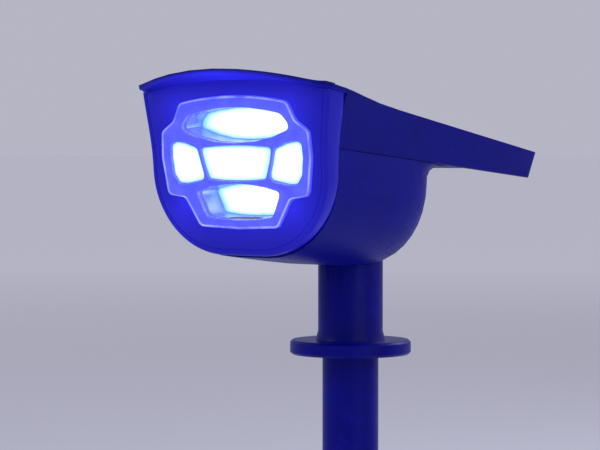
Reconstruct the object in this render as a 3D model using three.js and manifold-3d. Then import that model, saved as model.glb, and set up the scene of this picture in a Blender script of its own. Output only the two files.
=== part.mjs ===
// Solar garden spotlight on a ground stake.
// Millimetres, +Z up, origin on the pole's axis at ground level, light shines towards -Y.
import * as THREE from 'three';
import Module from 'manifold-3d';
import { mergeVertices } from 'three/addons/utils/BufferGeometryUtils.js';
import { LoftGeometry } from 'three/addons/geometries/LoftGeometry.js';

const wasm = await Module();
wasm.setup();

// ---- driving dimensions ----

const gap = 0.3;             // clearance between pieces that touch
const wall = 2.2;            // shell thickness of the head
const roundSteps = 36;       // sides of a full circle

const stake = { tip: -150, top: -6, finWidth: 30, finThickness: 3.2, collarRadius: 17.5, collarHeight: 6 };
const pole = { radius: 12.75, wall: 1.8, top: 109, spigotRadius: 11.6, spigotTop: 130 };
const neck = { radius: 14.75, bore: 12, mouth: 13.3, bottom: 109, webBottom: 133, webTop: 137 };
const flange = { radius: 27.5, thickness: 6.5, bevel: 1, holeRadius: 2.2, holeOffset: 21 };

const pivot = { y: 0, z: 163, knuckleRadius: 14.5, pocketRadius: 15.1, noseUp: 50, noseDown: 15 };
const bolt = { radius: 2.4, bossReach: 18.3, headRadius: 4.2, headHeight: 2.4, bossRadius: 8 };
const washer = { radius: 8, inner: 3, thickness: 0.8, seatRadius: 8.6 };

const body = { halfWidth: 48.4, front: -70, rearCorner: 32.5, rearStart: -18, bottom: 150, frontRise: 5.8 };
const bottomCorner = { x: 38, z: 36 };
const rearCurve = { y: -6, z: 180, reachY: 20.5, reachZ: 30 };
// Drop and outward reach of the shoulder that carries the tail.
const collarSteps = [[10, 0], [5.5, 1], [2.8, 2.8], [1.2, 5.5], [0.4, 8.5], [0, 9.5]];

const seam = { height: 195.7, slope: -0.0945 };      // joint line between housing and top frame
const roof = { height: 213.7, slope: -0.1736 };         // upper edge of the top frame
const brow = { lift: 1.5, crown: 4.5, start: -44, full: -76, thickness: 2 };
const tray = { halfWidthLow: 47.8, halfWidthHigh: 50.2, rearLow: 76.2, rearHigh: 78.6, corner: 4.5 };
const visor = { frontLow: -78, frontHigh: -84.5, bulge: 10.5, flare: 3.8 };
const tail = { floorStart: 12, bulkhead: 22, start: 25, depth: 6.8, skirt: 45.2, floorThickness: 2.2 };

const panel = { halfWidth: 44.2, front: -46, rear: 71, recess: 3.8, ledge: 4 };
const cells = { columns: 2, rows: 4, thickness: 0.5, spacing: 1.6 };

const face = { y: -80, z: 201.5, tilt: 5 };            // pivot point and backward lean of the front face
const bezel = { rear: -70.6, halfWidth: 49.2, bottom: 156.2, flare: 4 };
const lens = { thickness: 2.4, proud: 0.8, seat: 3.6 };
const reflectorDepth = 14;

const screwPosts = [[38, -41.5], [-38, -41.5], [38, -14], [-38, -14]];
const post = { radius: 5, pilot: 1.7, bossRadius: 4.4, recess: 3.1, hole: 1.8, shoulder: 6.5, grip: 8.4 };

const button = { z: 187, radius: 5.5 };
const board = { halfWidth: 21, bottom: 181, top: 193.4, y: 1.5, thickness: 1.6 };
const cell = { radius: 9.1, length: 65, y: -31.5, z: 191.5 };

// ---- colours ----

const paint = {
  shell: { color: 0x14173c, roughness: 0.55, metalness: 0 },
  glass: { color: 0x9fd4ff, roughness: 0.06, metalness: 0 },
  reflector: { color: 0xd7dee8, roughness: 0.12, metalness: 1 },
  led: { color: 0xcfe6ff, roughness: 0.3, metalness: 0 },
  silicon: { color: 0x0b1230, roughness: 0.2, metalness: 0.2 },
  sheet: { color: 0x11131a, roughness: 0.6, metalness: 0 },
  rubber: { color: 0x0c0c0e, roughness: 0.85, metalness: 0 },
  steel: { color: 0xb4b8be, roughness: 0.3, metalness: 1 },
  board: { color: 0x0f5a32, roughness: 0.5, metalness: 0 },
  boardWhite: { color: 0xe9ecef, roughness: 0.5, metalness: 0 },
  battery: { color: 0x2d7fc4, roughness: 0.4, metalness: 0 },
  nylon: { color: 0x1b1c20, roughness: 0.7, metalness: 0 },
  redWire: { color: 0xb31717, roughness: 0.5, metalness: 0 },
  blackWire: { color: 0x111113, roughness: 0.5, metalness: 0 },
};

const degrees = Math.PI / 180;
const roofTilt = Math.atan(roof.slope);
const seamZ = (y) => seam.height + seam.slope * y;

// ---- solids ----

// The signed volume is positive where the faces point out.
function signedVolume(geometry) {
  const points = geometry.attributes.position;
  const index = geometry.index;
  const a = new THREE.Vector3();
  const b = new THREE.Vector3();
  const c = new THREE.Vector3();
  let total = 0;
  for (let i = 0; i < index.count; i += 3) {
    a.fromBufferAttribute(points, index.getX(i));
    b.fromBufferAttribute(points, index.getX(i + 1));
    c.fromBufferAttribute(points, index.getX(i + 2));
    total += a.dot(b.cross(c)) / 6;
  }
  return total;
}

// Shared corners are merged, and triangles that this leaves with no area are dropped.
function closedMesh(geometry) {
  const bare = new THREE.BufferGeometry().copy(geometry);
  bare.deleteAttribute('normal');
  bare.deleteAttribute('uv');
  const merged = mergeVertices(bare, 1e-4);
  const corners = merged.index.array;
  const kept = [];
  for (let i = 0; i < corners.length; i += 3) {
    const [a, b, c] = corners.slice(i, i + 3);
    if (a !== b && b !== c && c !== a) {
      kept.push(a, b, c);
    }
  }
  merged.setIndex(kept);
  if (signedVolume(merged) < 0) {
    merged.index.array.reverse();
  }
  return merged;
}

function solid(geometry) {
  const merged = closedMesh(geometry);
  return new wasm.Manifold(new wasm.Mesh({
    numProp: 3,
    vertProperties: new Float32Array(merged.attributes.position.array),
    triVerts: new Uint32Array(merged.index.array),
  }));
}

function shapeOf(manifold) {
  const mesh = manifold.getMesh();
  const geometry = new THREE.BufferGeometry();
  geometry.setAttribute('position', new THREE.BufferAttribute(mesh.vertProperties, 3));
  geometry.setIndex(new THREE.BufferAttribute(mesh.triVerts, 1));
  return geometry;
}

const united = (...pieces) => pieces.reduce((sum, piece) => sum.add(piece));
const cut = (base, ...pieces) => pieces.reduce((rest, piece) => rest.subtract(piece), base);

function boxBetween(low, high) {
  const geometry = new THREE.BoxGeometry(high[0] - low[0], high[1] - low[1], high[2] - low[2]);
  return geometry.translate((low[0] + high[0]) / 2, (low[1] + high[1]) / 2, (low[2] + high[2]) / 2);
}

// A round bar from one height to another along Z, X or Y.
function bar(axis, radius, start, end, centre = [0, 0], sides = roundSteps) {
  const geometry = new THREE.CylinderGeometry(radius, radius, end - start, sides);
  const middle = (start + end) / 2;
  if (axis === 'z') {
    return geometry.rotateX(Math.PI / 2).translate(centre[0], centre[1], middle);
  }
  if (axis === 'x') {
    return geometry.rotateZ(Math.PI / 2).translate(middle, centre[0], centre[1]);
  }
  return geometry.translate(centre[0], middle, centre[1]);
}

function turned(profile, sides = roundSteps) {
  const points = profile.map(([r, z]) => new THREE.Vector2(r, z));
  return new THREE.LatheGeometry(points, sides).rotateX(Math.PI / 2);
}

// An outline of [x, z] points pushed along Y from one depth to another.
function slab(outline, yStart, yEnd) {
  const shape = new THREE.Shape(outline.map(([x, z]) => new THREE.Vector2(x, z)));
  const geometry = new THREE.ExtrudeGeometry(shape, { depth: yEnd - yStart, bevelEnabled: false });
  return geometry.rotateX(Math.PI / 2).translate(0, yEnd, 0);
}

// An outline of [y, z] points pushed along X, centred on X = 0.
function sideSlab(outline, halfWidth) {
  const shape = new THREE.Shape(outline.map(([y, z]) => new THREE.Vector2(y, z)));
  const geometry = new THREE.ExtrudeGeometry(shape, { depth: 2 * halfWidth, bevelEnabled: false });
  geometry.rotateX(Math.PI / 2);
  return geometry.rotateZ(Math.PI / 2).translate(-halfWidth, 0, 0);
}

// Skins the sections and closes each end with a fan to its middle.
function loft(sections) {
  const middle = (section) => {
    const centre = section.reduce((sum, point) => sum.add(point), new THREE.Vector3());
    centre.divideScalar(section.length);
    return section.map(() => centre.clone());
  };
  const last = sections[sections.length - 1];
  return new LoftGeometry([middle(sections[0]), ...sections, middle(last)], { closed: true });
}

function blend(start, end, value) {
  const t = THREE.MathUtils.clamp((value - start) / (end - start), 0, 1);
  return t * t * (3 - 2 * t);
}

// ---- the head's outer shape ----

// Upper surface of the top frame: a straight slope with a crowned brow at the front.
function roofZ(x, y) {
  const crown = brow.lift + brow.crown * Math.max(0, 1 - (x / 50) ** 2);
  return roof.height + roof.slope * y + crown * blend(brow.start, brow.full, y);
}

// Lowest height of the housing at a depth: it rises a little to the front and curves up at the rear.
function undersideZ(y, inset) {
  if (y < rearCurve.y) {
    const forward = Math.max(0, -20 - y) / 55;
    return body.bottom + body.frontRise * forward ** 1.2 + inset;
  }
  const reach = rearCurve.reachY - inset;
  const along = Math.min(1, (y - rearCurve.y) / reach);
  return rearCurve.z - (rearCurve.reachZ - inset) * Math.sqrt(1 - along * along);
}

// Half outline down one side and round the bottom corner, mirrored to the other side.
function shield(halfWidth, bottom, top, cornerX, cornerZ) {
  const right = [[halfWidth, top]];
  const steps = 9;
  for (let i = 0; i <= steps; i += 1) {
    const angle = (i / steps) * 90 * degrees;
    const x = halfWidth - cornerX * (1 - Math.cos(angle));
    const z = bottom + cornerZ * (1 - Math.sin(angle));
    right.push([x, z]);
  }
  const left = right.map(([x, z]) => [-x, z]).reverse();
  return right.concat(left);
}

function bodySection(y, halfWidth, inset, topAbove) {
  const scale = halfWidth / body.halfWidth;
  const bottom = undersideZ(y, inset);
  const top = seamZ(y) + topAbove;
  const cornerX = Math.min(bottomCorner.x - inset, bottomCorner.x * scale);
  const cornerZ = Math.min(bottomCorner.z - inset, 0.85 * (seamZ(y) - bottom));
  return shield(halfWidth, bottom, top, cornerX, cornerZ)
    .map(([x, z]) => new THREE.Vector3(x, y, z));
}

function bodySolid(inset, front, topAbove) {
  const sections = [];
  for (const y of [front, -60, -45, -30, body.rearStart]) {
    sections.push(bodySection(y, body.halfWidth - inset, inset, topAbove));
  }
  const radius = body.rearCorner - inset;
  for (let angle = 15; angle <= 90; angle += 7.5) {
    const y = body.rearStart + radius * Math.sin(angle * degrees);
    const halfWidth = body.halfWidth - body.rearCorner + radius * Math.cos(angle * degrees);
    sections.push(bodySection(y, halfWidth, inset, topAbove));
  }
  return solid(loft(sections));
}

// Flared edge under the tail, where the rear wall curves out to the joint line.
function makeCollar() {
  const sections = collarSteps.map(([drop, reach]) => {
    const rear = body.rearStart + body.rearCorner + reach;
    const halfWidth = tray.halfWidthLow;
    const right = [[halfWidth, -30]];
    for (let angle = 0; angle <= 90; angle += 11.25) {
      const x = halfWidth - body.rearCorner + body.rearCorner * Math.cos(angle * degrees);
      right.push([x, rear - body.rearCorner * (1 - Math.sin(angle * degrees))]);
    }
    const left = right.map(([x, y]) => [-x, y]).reverse();
    return right.concat(left).map(([x, y]) => new THREE.Vector3(x, y, seamZ(y) - gap / 2 - drop));
  });
  return solid(loft(sections));
}

// Side view of the room that the neck needs inside the head, from nose down to nose up.
function swingOutline(radius) {
  const reach = 60;
  const points = [];
  const upEnd = -90 + pivot.noseUp;
  const downEnd = -90 - pivot.noseDown;
  const along = (angle) => [Math.cos(angle * degrees) * reach, Math.sin(angle * degrees) * reach];
  const start = upEnd + 90;
  const end = downEnd + 270;
  for (let angle = start; angle <= end + 0.01; angle += (end - start) / 16) {
    const turn = angle * degrees;
    points.push([pivot.y + radius * Math.cos(turn), pivot.z + radius * Math.sin(turn)]);
  }
  const last = points[points.length - 1];
  const first = points[0];
  const [downY, downZ] = along(downEnd);
  const [upY, upZ] = along(upEnd);
  points.push([last[0] + downY, last[1] + downZ]);
  points.push([first[0] + upY, first[1] + upZ]);
  return points;
}

function makeHousing() {
  const outer = bodySolid(0, body.front, -gap / 2);
  const inner = bodySolid(wall, body.front - 2, 4);
  const room = solid(sideSlab(swingOutline(pivot.pocketRadius), pivot.pocketRadius));
  const roomWall = solid(sideSlab(swingOutline(pivot.pocketRadius + wall), pivot.pocketRadius + wall));
  const bosses = solid(bar('x', bolt.bossRadius, -bolt.bossReach, bolt.bossReach, [pivot.y, pivot.z]));
  let extras = united(roomWall, bosses);
  for (const [x, y] of screwPosts) {
    extras = extras.add(solid(bar('z', post.radius, 140, seamZ(y) - gap / 2, [x, y], 20)));
  }
  const shell = cut(outer.add(makeCollar()), inner).add(extras.intersect(outer));
  const holes = [room, solid(bar('x', bolt.radius + gap, -30, 30, [pivot.y, pivot.z], 20))];
  for (const [start, end] of [[bolt.bossReach, 30], [-30, -bolt.bossReach]]) {
    holes.push(solid(bar('x', bolt.headRadius + gap, start, end, [pivot.y, pivot.z], 24)));
  }
  for (const [x, y] of screwPosts) {
    holes.push(solid(bar('z', post.pilot, seamZ(y) - post.grip - 1, 230, [x, y], 12)));
  }
  holes.push(solid(bar('y', button.radius + gap, 5, 40, [0, button.z], 24)));
  return shapeOf(cut(shell, ...holes));
}

// ---- top frame with the front visor and the tail ----

// Plan outline, from the rear centre round the right side to the front and back again.
function planOutline(halfWidth, front, rear, corner, bulge, flare) {
  const right = [[0, rear], [halfWidth * 0.5, rear]];
  for (let angle = 90; angle >= 0; angle -= 15) {
    const x = halfWidth - corner + corner * Math.cos(angle * degrees);
    right.push([x, rear - corner + corner * Math.sin(angle * degrees)]);
  }
  for (const y of [50, 30, 12, -10, -30, -45, -58, -66, -72]) {
    right.push([halfWidth + flare * blend(-25, -78, y), y]);
  }
  const wide = halfWidth + flare;
  for (const share of [1, 0.96, 0.85, 0.7, 0.5, 0.25, 0]) {
    const roundOff = share === 1 ? 3.5 : 0;
    right.push([wide * share, front - bulge * (1 - share * share) + roundOff]);
  }
  const left = right.slice(1, -1).map(([x, y]) => [-x, y]).reverse();
  return right.concat(left);
}

function frameOuter() {
  const sections = [];
  const layers = [[0, 0], [0.5, 0.5], [0.8, 0.8], [0.93, 0.93], [1, 1]];
  for (const [height, spread] of layers) {
    const late = spread ** 2.2;
    const halfWidth = THREE.MathUtils.lerp(tray.halfWidthLow, tray.halfWidthHigh, spread);
    const front = THREE.MathUtils.lerp(visor.frontLow, visor.frontHigh, late);
    const rear = THREE.MathUtils.lerp(tray.rearLow, tray.rearHigh, spread);
    const [bulge, flare] = [visor.bulge * late, visor.flare * late];
    const outline = planOutline(halfWidth, front, rear, tray.corner, bulge, flare);
    sections.push(outline.map(([x, y]) => {
      const low = seamZ(y) + gap / 2;
      return new THREE.Vector3(x, y, THREE.MathUtils.lerp(low, roofZ(x, y), height));
    }));
  }
  const rim = sections[sections.length - 1];
  for (const inward of [0.94, 0.88, 0.8, 0.72, 0.64, 0.56, 0.48, 0.25]) {
    sections.push(rim.map((point) => {
      const x = point.x * inward;
      const y = point.y * inward;
      return new THREE.Vector3(x, y, roofZ(x, y));
    }));
  }
  return solid(loft(sections));
}

// The room under the visor that the front face fills, open to the front.
function faceRoom() {
  const arch = [];
  for (let x = 60; x >= -60; x -= 6) {
    const crown = brow.lift + brow.crown * Math.max(0, 1 - (x / 50) ** 2);
    arch.push([x, crown - brow.thickness]);
  }
  const outline = [[60, -100], ...arch, [-60, -100]];
  const block = slab(outline, -130, -40);
  block.rotateX(roofTilt).translate(0, 0, roof.height);
  const front = solid(boxBetween([-70, -140, 120], [70, body.front - gap, 250]));
  return solid(block).intersect(front);
}

function makeTopFrame() {
  const tiltedBox = (low, high) => {
    const geometry = boxBetween(low, high);
    return solid(geometry.rotateX(roofTilt).translate(0, 0, roof.height));
  };
  const recess = tiltedBox(
    [-panel.halfWidth, panel.front, -panel.recess],
    [panel.halfWidth, panel.rear, 30],
  );
  const through = sideSlab([
    [panel.front + panel.ledge, roofZ(0, panel.front + panel.ledge) + 5],
    [panel.front + panel.ledge, 180],
    [tail.floorStart, 180],
    [tail.floorStart, seamZ(tail.floorStart) + tail.floorThickness],
    [tail.bulkhead, seamZ(tail.bulkhead) + tail.floorThickness],
    [tail.bulkhead, roofZ(0, tail.bulkhead) + 5],
  ], panel.halfWidth - panel.ledge);
  const hollow = sideSlab([
    [panel.front - 2, roof.height + roof.slope * (panel.front - 2) - 6],
    [-62, roofZ(50, -62) - 3.2],
    [body.front - 4, roofZ(50, body.front - 4) - 3.2],
    [body.front - 4, 180],
    [tail.floorStart, 180],
    [tail.floorStart, seamZ(tail.floorStart) + tail.floorThickness],
    [tail.bulkhead, seamZ(tail.bulkhead) + tail.floorThickness],
    [tail.bulkhead, roof.height + roof.slope * tail.bulkhead - 6],
  ], tray.halfWidthLow - wall);
  const channel = sideSlab([
    [tail.start, 170],
    [tail.start, roof.height + roof.slope * tail.start - tail.depth],
    [95, roof.height + roof.slope * 95 - tail.depth],
    [95, 170],
  ], tail.skirt);
  let frame = cut(frameOuter(), recess, solid(through), solid(hollow), solid(channel), faceRoom());
  const outer = frameOuter();
  const bosses = united(...screwPosts.map(([x, y]) => {
    const low = seamZ(y) + gap;
    const wallSide = Math.sign(x) * (tray.halfWidthLow - wall / 2);
    const web = boxBetween([Math.min(x, wallSide), y - 1.5, low], [Math.max(x, wallSide), y + 1.5, 230]);
    return solid(bar('z', post.bossRadius, low, 230, [x, y], 20)).add(solid(web));
  }));
  const under = tiltedBox([-60, -70, -40], [60, 80, -panel.recess - 0.5]);
  frame = frame.add(bosses.intersect(outer).intersect(under));
  const screwHoles = screwPosts.map(([x, y]) => united(
    solid(bar('z', post.hole, 180, 240, [x, y], 16)),
    solid(bar('z', post.recess, seamZ(y) + post.shoulder, 240, [x, y], 20)),
  ));
  return shapeOf(cut(frame, ...screwHoles));
}

// ---- front face: bezel, lens, reflector and light board ----

// Mirrors a half outline that starts and ends on the centre line.
function mirrored(half) {
  const inner = half.filter(([x]) => x > 0.01);
  return half.concat(inner.map(([x, z]) => [-x, z]).reverse());
}

// Points of a shallow arc from one point to another, with a rise at the centre line.
function arcTo(x, sideZ, centreZ, steps = 5) {
  const points = [];
  for (let i = steps; i >= 0; i -= 1) {
    const share = i / steps;
    points.push([x * share, centreZ + (sideZ - centreZ) * share * share]);
  }
  return points;
}

const lensHalf = [
  ...arcTo(30.5, 20.8, 23.8).reverse(),
  [34.6, 12.8], [41.6, 8.4], [42.3, -3], [39.8, -19.4], [30, -20.6], [22, -33.2],
  [0, -34.1],
];

const windows = {
  top: mirrored([...arcTo(26.9, 16, 18.4).reverse(), [30.4, 9.3], ...arcTo(29.9, 8.6, 3.6)]),
  centre: mirrored([[0, 1.9], [20.4, 1.4], [16.4, -12.2], [0, -12.6]]),
  bottom: mirrored([...arcTo(23.1, -17.4, -15).reverse(), [18.9, -27.6], ...arcTo(17.9, -28, -29.8)]),
  right: [[23.2, 1.2], [36.2, 3.2], [37.2, -4], [34.8, -14], [19, -12.6], [21, -5]],
};
windows.left = windows.right.map(([x, z]) => [-x, z]).reverse();

function offsetOutline(outline, distance) {
  const count = outline.length;
  return outline.map(([x, z], i) => {
    const [px, pz] = outline[(i + count - 1) % count];
    const [nx, nz] = outline[(i + 1) % count];
    const before = new THREE.Vector2(x - px, z - pz).normalize();
    const after = new THREE.Vector2(nx - x, nz - z).normalize();
    const mean = new THREE.Vector2(before.y + after.y, -before.x - after.x).normalize();
    const spread = Math.max(0.5, mean.x * after.y - mean.y * after.x);
    return [x - (mean.x * distance) / spread, z - (mean.y * distance) / spread];
  });
}

const lensOutline = mirrored(lensHalf);

// Places a shape of the front module, modelled upright about its own centre, into the head.
function placed(geometry) {
  return geometry.rotateX(face.tilt * degrees).translate(0, face.y, face.z);
}

function bezelOutline() {
  const right = [];
  for (let i = 0; i <= 10; i += 1) {
    const angle = (90 - 9 * i) * degrees;
    const x = bezel.halfWidth - bottomCorner.x * (1 - Math.cos(angle));
    right.push([x, bezel.bottom + bottomCorner.z * (1 - Math.sin(angle))]);
  }
  for (const z of [200, 208, 216, 222, 226]) {
    right.push([bezel.halfWidth + bezel.flare * blend(196, 236, z), z]);
  }
  right.push([bezel.halfWidth + bezel.flare, 240]);
  return right.concat(right.map(([x, z]) => [-x, z]).reverse());
}

function makeBezel() {
  const blank = solid(slab(bezelOutline(), -100, bezel.rear));
  const frontCut = solid(placed(boxBetween([-80, 0, -80], [80, 60, 80])));
  const lowered = faceRoom().translate([0, 0, -gap]);
  const tub = shield(bezel.halfWidth - 3, bezel.bottom + 3, 214, bottomCorner.x - 3, bottomCorner.z - 3);
  const backRoom = solid(slab(tub, face.y + 9, -60));
  const aperture = solid(placed(slab(offsetOutline(lensOutline, -lens.seat), -10, 30)));
  const seat = solid(placed(slab(offsetOutline(lensOutline, gap), -10, lens.thickness + 0.8)));
  return shapeOf(cut(blank.intersect(frontCut).intersect(lowered), backRoom, aperture, seat));
}

function makeLens() {
  const plate = solid(slab(lensOutline, -lens.proud, lens.thickness - lens.proud));
  let ribs = plate;
  for (const name of Object.keys(windows)) {
    ribs = ribs.subtract(solid(slab(offsetOutline(windows[name], -0.4), -4, 0)));
  }
  return shapeOf(ribs);
}

function makeLensGasket() {
  const outer = solid(slab(offsetOutline(lensOutline, -0.4), 1.9, 2.9));
  return shapeOf(outer.subtract(solid(slab(offsetOutline(lensOutline, -lens.seat + 0.6), 0, 5))));
}

function windowCentre(name) {
  const centre = new THREE.Vector2();
  windows[name].forEach(([x, z]) => centre.add(new THREE.Vector2(x, z)));
  return centre.divideScalar(windows[name].length);
}

function makeReflector() {
  const outline = offsetOutline(lensOutline, -lens.seat - 0.6);
  let blockSolid = solid(slab(outline, 2, reflectorDepth));
  for (const name of Object.keys(windows)) {
    const mouth = windows[name];
    const centre = windowCentre(name);
    const ring = (share, y) => mouth.map(([x, z]) => new THREE.Vector3(
      centre.x + (x - centre.x) * share,
      y,
      centre.y + (z - centre.y) * share,
    ));
    blockSolid = blockSolid.subtract(solid(loft([
      ring(1, 1), ring(1, 2.2), ring(0.86, 6), ring(0.62, 10), ring(0.4, 13), ring(0.36, 15),
    ])));
  }
  return shapeOf(blockSolid);
}

// ---- neck, pole and spike ----

function makeNeck() {
  const top = pivot.z;
  const outer = turned([
    [0, neck.bottom],
    [flange.radius - flange.bevel, neck.bottom],
    [flange.radius, neck.bottom + flange.bevel],
    [flange.radius, neck.bottom + flange.thickness - flange.bevel],
    [flange.radius - flange.bevel, neck.bottom + flange.thickness],
    [neck.radius + 1.2, neck.bottom + flange.thickness],
    [neck.radius, neck.bottom + flange.thickness + 4],
    [neck.radius, top],
    [0, top],
  ], 48);
  const domeBase = solid(bar('z', neck.radius, top - 1, top + 30, [0, 0], 48));
  const roundTop = solid(bar('x', pivot.knuckleRadius, -30, 30, [pivot.y, pivot.z], 48));
  const seatReach = neck.radius + 1;
  const seatStart = pivot.pocketRadius - gap * 2 - washer.thickness - gap;
  const cuts = [
    solid(bar('z', neck.bore, neck.bottom - 1, neck.webBottom, [0, 0], 32)),
    solid(bar('z', neck.mouth, neck.bottom - 1, neck.bottom + 0.8, [0, 0], 32)),
    solid(bar('z', 2.6, neck.webBottom - 1, neck.webTop + 1, [0, 0], 16)),
    solid(bar('z', 7.5, neck.webTop, neck.webTop + 14, [0, 0], 24)),
    solid(bar('x', bolt.radius + gap, -40, 40, [pivot.y, pivot.z], 20)),
    solid(bar('x', washer.seatRadius, seatStart, seatReach, [pivot.y, pivot.z], 32)),
    solid(bar('x', washer.seatRadius, -seatReach, -seatStart, [pivot.y, pivot.z], 32)),
  ];
  for (const side of [-1, 1]) {
    cuts.push(solid(bar('z', flange.holeRadius, 100, 120, [0, side * flange.holeOffset], 16)));
  }
  return shapeOf(cut(solid(outer).add(domeBase.intersect(roundTop)), ...cuts));
}

function makePole() {
  const bore = pole.radius - pole.wall;
  return turned([
    [bore, 0.2],
    [pole.radius, 0.2],
    [pole.radius, pole.top - gap],
    [pole.spigotRadius, pole.top - gap],
    [pole.spigotRadius, pole.spigotTop],
    [1.6, pole.spigotTop],
    [1.6, pole.spigotTop - 12],
    [bore - 1.6, pole.spigotTop - 12],
    [bore - 1.6, pole.top - 6],
    [bore, pole.top - 10],
    [bore, 0.2],
  ], 40);
}

function makeSpike() {
  const collar = turned([
    [0, stake.top - stake.collarHeight + 6],
    [stake.collarRadius - 1.5, stake.top],
    [stake.collarRadius, stake.top + 1.5],
    [stake.collarRadius - 1.5, -0.1],
    [pole.radius - pole.wall - gap, -0.1],
    [pole.radius - pole.wall - gap, 24],
    [pole.radius - pole.wall - 1.8, 26],
    [0, 26],
  ], 40);
  const half = stake.finWidth / 2;
  const outline = [
    [-half, stake.top + 3], [-half + 1, -60], [-half + 5, -110], [-1.2, stake.tip],
    [1.2, stake.tip], [half - 5, -110], [half - 1, -60], [half, stake.top + 3],
  ];
  const t = stake.finThickness / 2;
  const across = solid(slab(outline, -t, t));
  const along = solid(sideSlab(outline, t));
  return shapeOf(solid(collar).add(across).add(along));
}

// ---- assembling ----

const lampHead = new THREE.Group();
const stand = new THREE.Group();

function part(name, geometry, colours, parent = lampHead) {
  const mesh = new THREE.Mesh(closedMesh(geometry), new THREE.MeshStandardMaterial(colours));
  mesh.name = name;
  parent.add(mesh);
  return mesh;
}

function addStand() {
  part('ground_spike', makeSpike(), paint.shell, stand);
  part('pole_tube', makePole(), paint.shell, stand);
  part('neck_tube', makeNeck(), paint.shell, stand);
  const head = neck.webTop + 1.1;
  const screw = turned([
    [0, head + 2.4], [2.6, head + 2.2], [3.6, head + 1.2], [3.8, head],
    [1.3, head], [1.3, pole.spigotTop - 10], [0, pole.spigotTop - 10.8],
  ], 16);
  part('swivel_screw', screw, paint.steel, stand);
  const ring = turned([
    [2.9, neck.webTop + gap], [6.6, neck.webTop + gap],
    [6.6, head - 0.2], [2.9, head - 0.2], [2.9, neck.webTop + gap],
  ], 24);
  part('swivel_washer', ring, paint.steel, stand);
}

function addPivot() {
  const at = [pivot.y, pivot.z];
  const start = bolt.bossReach + gap;
  const headShape = solid(bar('x', bolt.headRadius, start, start + bolt.headHeight, at, 24));
  const shank = solid(bar('x', bolt.radius, -start - 3, start + 1, at, 20));
  part('pivot_bolt', shapeOf(headShape.add(shank)), paint.steel);
  const nut = solid(bar('x', bolt.headRadius, -start - 2.6, -start, at, 6));
  const thread = solid(bar('x', bolt.radius + gap, -40, 0, at, 20));
  part('pivot_nut', shapeOf(nut.subtract(thread)), paint.steel);
  const outerFace = pivot.pocketRadius - gap;
  for (const [name, side] of [['left', -1], ['right', 1]]) {
    const ends = [side * (outerFace - washer.thickness), side * outerFace].sort((a, b) => a - b);
    const ring = solid(bar('x', washer.radius, ends[0], ends[1], at, 32));
    const bore = solid(bar('x', washer.inner, -30, 30, at, 20));
    part(`friction_washer_${name}`, shapeOf(ring.subtract(bore)), paint.nylon);
  }
}

function addFace() {
  const frontModule = new THREE.Group();
  frontModule.position.set(0, face.y, face.z);
  frontModule.rotation.x = face.tilt * degrees;
  lampHead.add(frontModule);
  part('front_bezel', makeBezel(), paint.shell);
  part('lens_cover', makeLens(), paint.glass, frontModule);
  part('lens_gasket', makeLensGasket(), paint.rubber, frontModule);
  part('reflector_block', makeReflector().translate(0, 1.2, 0), paint.reflector, frontModule);
  const back = reflectorDepth + 1.2 + gap;
  const boardOutline = offsetOutline(lensOutline, -lens.seat - 1);
  part('led_board', slab(boardOutline, back, back + 1.6), paint.boardWhite, frontModule);
  for (const name of Object.keys(windows)) {
    const { x, y: z } = windowCentre(name);
    const chip = boxBetween([x - 1.8, back - 1.1, z - 1.6], [x + 1.8, back - 0.05, z + 1.6]);
    part(`led_${name}`, chip, paint.led, frontModule);
  }
}

function addPanel() {
  const roofModule = new THREE.Group();
  roofModule.position.set(0, 0, roof.height);
  roofModule.rotation.x = roofTilt;
  lampHead.add(roofModule);
  const layers = { seat: -panel.recess + gap, sheet: -panel.recess + 1.1 };
  const inset = 0.4;
  const low = [-panel.halfWidth + inset, panel.front + inset];
  const high = [panel.halfWidth - inset, panel.rear - inset];
  const ring = cut(
    solid(boxBetween([...low, layers.seat], [...high, layers.seat + 0.5])),
    solid(boxBetween([low[0] + 3, low[1] + 3, -10], [high[0] - 3, high[1] - 3, 10])),
  );
  part('panel_gasket', shapeOf(ring), paint.rubber, roofModule);
  part('panel_backsheet', boxBetween([...low, layers.sheet - 0.2], [...high, layers.sheet + 0.4]),
    paint.sheet, roofModule);
  const cellBottom = layers.sheet + 0.5;
  const cellTop = cellBottom + cells.thickness - 0.1;
  const width = (2 * panel.halfWidth - 10 - cells.spacing) / cells.columns;
  const depth = (panel.rear - panel.front - 10 - cells.spacing * (cells.rows - 1)) / cells.rows;
  for (let row = 0; row < cells.rows; row += 1) {
    for (let column = 0; column < cells.columns; column += 1) {
      const x = -panel.halfWidth + 5 + column * (width + cells.spacing);
      const y = panel.front + 5 + row * (depth + cells.spacing);
      const name = `solar_cell_${row + 1}_${column + 1}`;
      const wafer = boxBetween([x, y, cellBottom], [x + width, y + depth, cellTop]);
      part(name, wafer, paint.silicon, roofModule);
    }
  }
  part('panel_glass', boxBetween([...low, cellTop + 0.1], [...high, -0.35]), paint.glass, roofModule);
}

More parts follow.
